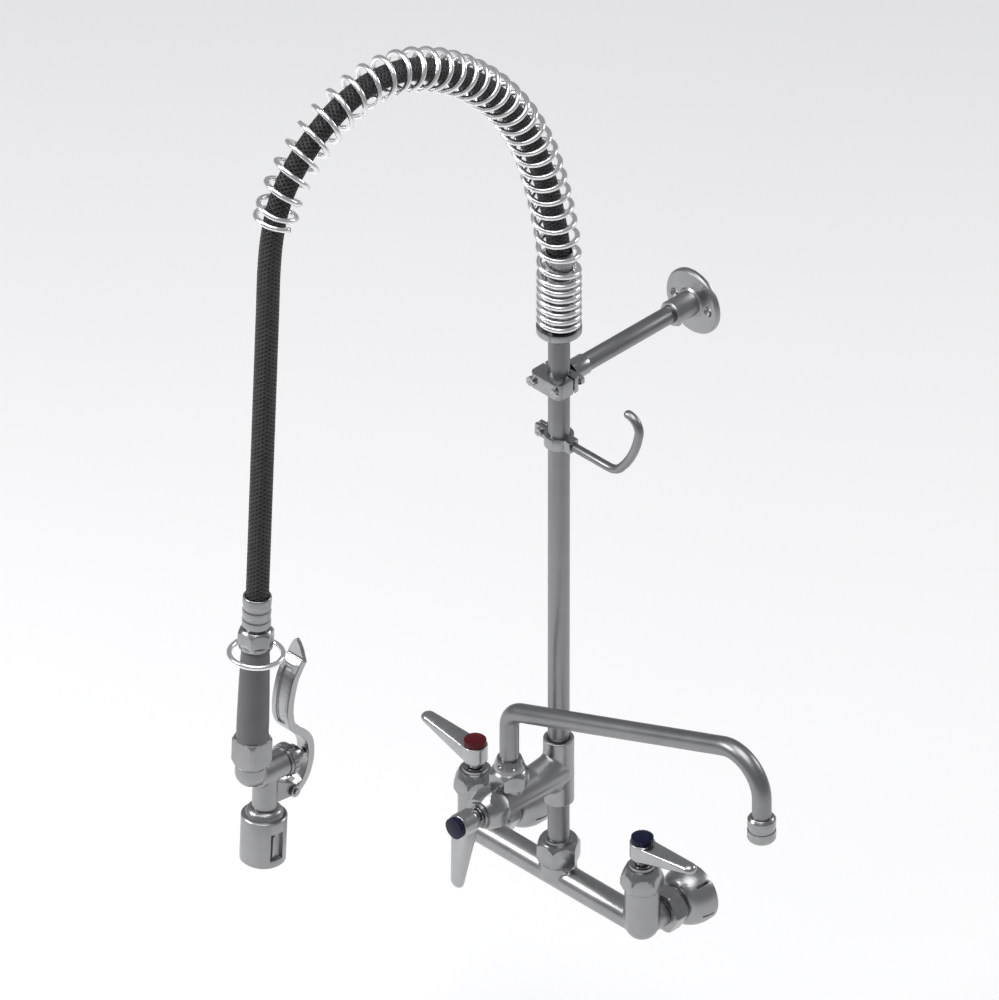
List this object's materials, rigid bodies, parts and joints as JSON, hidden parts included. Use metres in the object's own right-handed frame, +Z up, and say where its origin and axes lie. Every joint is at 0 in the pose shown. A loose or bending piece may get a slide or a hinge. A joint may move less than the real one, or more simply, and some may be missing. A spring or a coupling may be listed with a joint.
{
  "type": "wall-mounted pre-rinse faucet",
  "caption": "Wall-mounted two-handle pre-rinse faucet with a riser, overhead spring hose, squeeze spray valve, wall bracket, finger hook and an add-on swing nozzle.",
  "frame": {"origin": "on the wall plane at the inlet flanges' back faces, midway between the two inlets", "axes": "+X right along the wall, +Y into the wall, +Z up along the riser"},
  "size_m": [0.4824, 0.5557, 0.9856],
  "materials": {
    "cast_body": "polished chrome over a brass casting, softly uneven",
    "chrome_nut": "polished chrome, machined",
    "tube_steel": "satin drawn tube",
    "handle_chrome": "polished chrome casting",
    "spring_steel": "bright drawn stainless wire",
    "hose_braid": "black braided sleeve",
    "grip_plastic": "mid-grey moulded grip with a fine grain",
    "hot_index": "dark red moulded cap",
    "cold_index": "dark blue moulded cap",
    "brass_inner": "machined brass",
    "seal_rubber": "black moulded rubber",
    "screw_steel": "stainless screws",
    "spray_face_dark": "dark moulded spray plate"
  },
  "bodies": {
    "root": {"base_body": "cast_body", "hot_inlet_nut": "chrome_nut", "hot_inlet_flange": "cast_body", "cold_inlet_nut": "chrome_nut", "cold_inlet_flange": "cast_body", "joint_washers": "seal_rubber", "hot_cartridge": "brass_inner", "hot_bonnet": "chrome_nut", "cold_cartridge": "brass_inner", "cold_bonnet": "chrome_nut", "riser_nipple": "tube_steel", "riser_coupling_nut": "chrome_nut", "addon_body": "cast_body", "addon_cartridge": "brass_inner", "addon_bonnet": "chrome_nut", "swivel_nut": "chrome_nut", "riser": "tube_steel", "bracket_rear_clamp": "chrome_nut", "bracket_front_clamp": "chrome_nut", "bracket_screws": "screw_steel", "bracket_tube": "tube_steel", "bracket_flange": "cast_body", "bracket_set_screw": "screw_steel", "spring_collar": "chrome_nut"},
    "hot_valve": {"hot_stem": "brass_inner", "hot_handle": "handle_chrome", "hot_handle_screw": "screw_steel", "hot_index": "hot_index"},
    "cold_valve": {"cold_stem": "brass_inner", "cold_handle": "handle_chrome", "cold_handle_screw": "screw_steel", "cold_index": "cold_index"},
    "addon_valve": {"addon_stem": "brass_inner", "addon_handle": "handle_chrome", "addon_handle_screw": "screw_steel", "addon_index": "cold_index"},
    "nozzle": {"nozzle_sleeve": "tube_steel", "nozzle_o_rings": "seal_rubber", "nozzle_tube": "tube_steel", "nozzle_outlet": "chrome_nut"},
    "hook": {"hook_band": "chrome_nut", "hook_rod": "tube_steel", "hook_screw": "screw_steel"},
    "overhead": {"overhead_spring": "spring_steel", "hose_swivel_nut": "chrome_nut", "hose_upper_ferrule": "chrome_nut", "hose": "hose_braid"},
    "spray_valve": {"hose_lower_ferrule": "cast_body", "valve_nut": "chrome_nut", "valve_grip": "grip_plastic", "valve_collar": "cast_body", "valve_body": "cast_body", "valve_bonnet": "chrome_nut", "valve_return_spring": "spring_steel", "lever_pin": "screw_steel", "spray_head": "cast_body", "spray_face": "spray_face_dark"},
    "lever": {"valve_lever": "handle_chrome"},
    "plunger": {"valve_plunger": "screw_steel"},
    "ring": {"hold_down_ring": "spring_steel"}
  },
  "joints": [
    {"name": "hot_handle_turn", "type": "hinge", "parent": "root", "child": "hot_valve", "pos_m": [-0.1016, -0.066, 0.077], "axis": [0, 0, 1], "range_deg": [0, 90]},
    {"name": "cold_handle_turn", "type": "hinge", "parent": "root", "child": "cold_valve", "pos_m": [0.1016, -0.066, 0.077], "axis": [0, 0, 1], "range_deg": [-90, 0]},
    {"name": "addon_handle_turn", "type": "hinge", "parent": "root", "child": "addon_valve", "pos_m": [0, -0.18, 0.112], "axis": [0, -1, 0], "range_deg": [0, 90]},
    {"name": "nozzle_swing", "type": "hinge", "parent": "root", "child": "nozzle", "pos_m": [0, -0.126, 0.14], "axis": [0, 0, 1], "range_deg": [-76, 20]},
    {"name": "hook_swivel", "type": "hinge", "parent": "root", "child": "hook", "pos_m": [0, -0.066, 0.459], "axis": [0, 0, 1], "range_deg": [-150, 60]},
    {"name": "overhead_swing", "type": "hinge", "parent": "root", "child": "overhead", "pos_m": [0, -0.066, 0.6], "axis": [0, 0, 1], "range_deg": [-35, 35], "stiffness_Nm_per_rad": 3},
    {"name": "gun_swing", "type": "hinge", "parent": "overhead", "child": "spray_valve", "pos_m": [0, -0.4105, 0.836], "axis": [1, 0, 0], "range_deg": [-15, 15], "stiffness_Nm_per_rad": 2, "deforming": ["hose"]},
    {"name": "lever_squeeze", "type": "hinge", "parent": "spray_valve", "child": "lever", "pos_m": [0, -0.3907, 0.25495], "axis": [1, 0, 0], "range_deg": [0, 8], "stiffness_Nm_per_rad": 1, "springref_deg": -5.73},
    {"name": "plunger_press", "type": "slide", "parent": "spray_valve", "child": "plunger", "axis": [0, -0.9989, 0.0466], "range_m": [0, 0.005]},
    {"name": "ring_slide", "type": "slide", "parent": "spray_valve", "child": "ring", "axis": [0, 0.0466, 0.9989], "range_m": [0, 0.03]}
  ],
  "couplings": [
    {"joint": "plunger_press", "follows": "lever_squeeze", "m_per_rad": 0.033}
  ]
}
